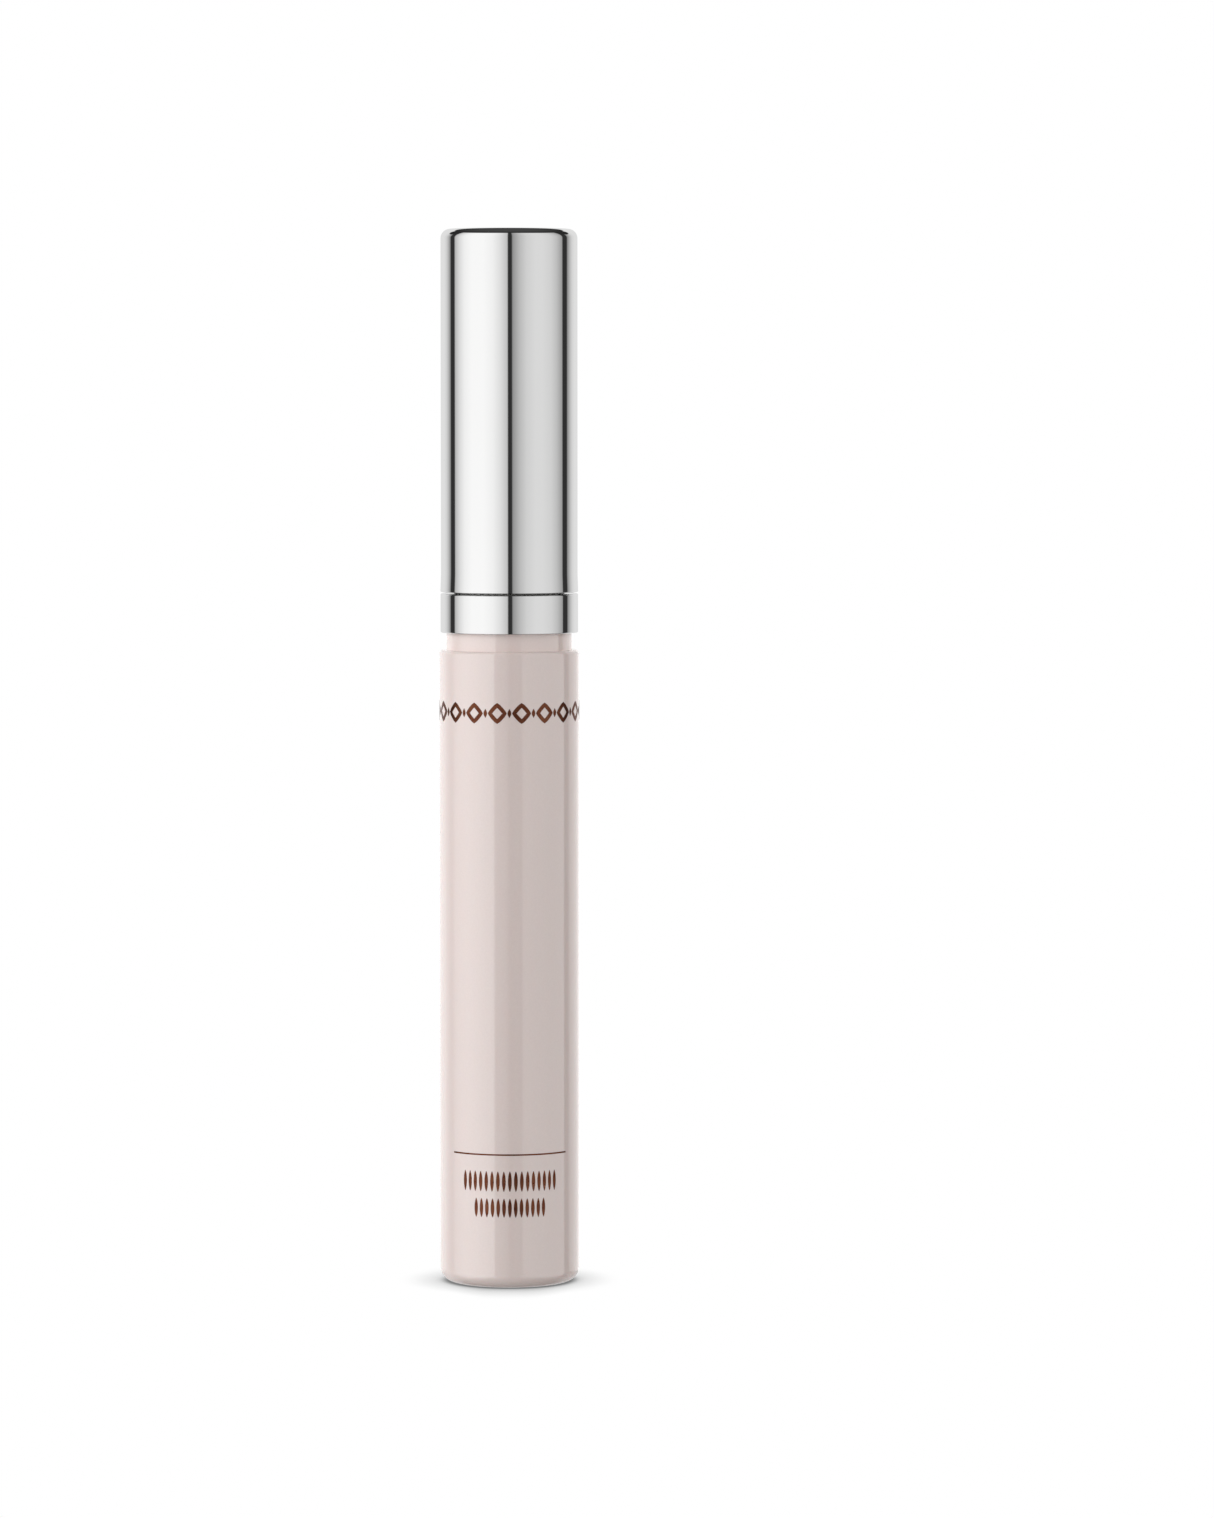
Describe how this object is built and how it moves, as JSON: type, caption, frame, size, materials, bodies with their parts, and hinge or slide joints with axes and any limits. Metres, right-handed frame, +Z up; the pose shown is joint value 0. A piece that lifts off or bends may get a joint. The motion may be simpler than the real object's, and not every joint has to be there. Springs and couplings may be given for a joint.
{
  "type": "mascara tube",
  "caption": "Closed mascara tube: round bottle with a threaded neck and wiper, collar ring, and a screw cap that carries the stem and a moulded bristle brush.",
  "frame": {"origin": "centre of the bottle's base, on the surface it stands on", "axes": "+Z up along the tube's axis, from the base to the cap's crown; -Y is the side that faces the viewer"},
  "size_m": [0.0172, 0.0172, 0.1297],
  "materials": {
    "bottle_pink": "pearly pink-beige, high gloss",
    "label_film": "blank satin film",
    "vial_plastic": "natural milky polypropylene",
    "wiper_plastic": "soft natural polyethylene",
    "mascara_paste": "wet black paste",
    "collar_chrome": "polished mirror",
    "seal_foam": "fine closed-cell foam",
    "cap_chrome": "polished mirror",
    "inner_cap_plastic": "black moulded, semi-gloss",
    "weight_steel": "turned",
    "stem_plastic": "polished dark warm grey",
    "brush_core_plastic": "black moulded, satin",
    "bristle_elastomer": "black soft moulding, satin"
  },
  "bodies": {
    "bottle": {"bottle_sleeve": "bottle_pink", "base_label": "label_film", "inner_vial": "vial_plastic", "neck_wiper": "wiper_plastic", "mascara_formula": "mascara_paste"},
    "collar": {"collar_ring": "collar_chrome"},
    "seal": {"neck_seal": "seal_foam"},
    "cap": {"cap_shell": "cap_chrome", "inner_cap": "inner_cap_plastic", "cap_weight": "weight_steel", "wand_stem": "stem_plastic", "brush_core": "brush_core_plastic", "brush_bristles": "bristle_elastomer"}
  },
  "joints": [
    {"name": "cap_twist", "type": "hinge", "parent": "bottle", "child": "collar", "pos_m": [0, 0, 0.0824], "axis": [0, 0, 1], "range_deg": [0, 540]},
    {"name": "wand_pull", "type": "slide", "parent": "collar", "child": "seal", "axis": [0, 0, 1], "range_m": [0, 0.095], "deforming": ["brush_bristles"]},
    {"name": "cap_climb", "type": "slide", "parent": "seal", "child": "cap", "axis": [0, 0, 1], "range_m": [0, 0.0038]}
  ],
  "couplings": [
    {"joint": "cap_climb", "follows": "cap_twist", "m_per_rad": 0.00039789}
  ]
}
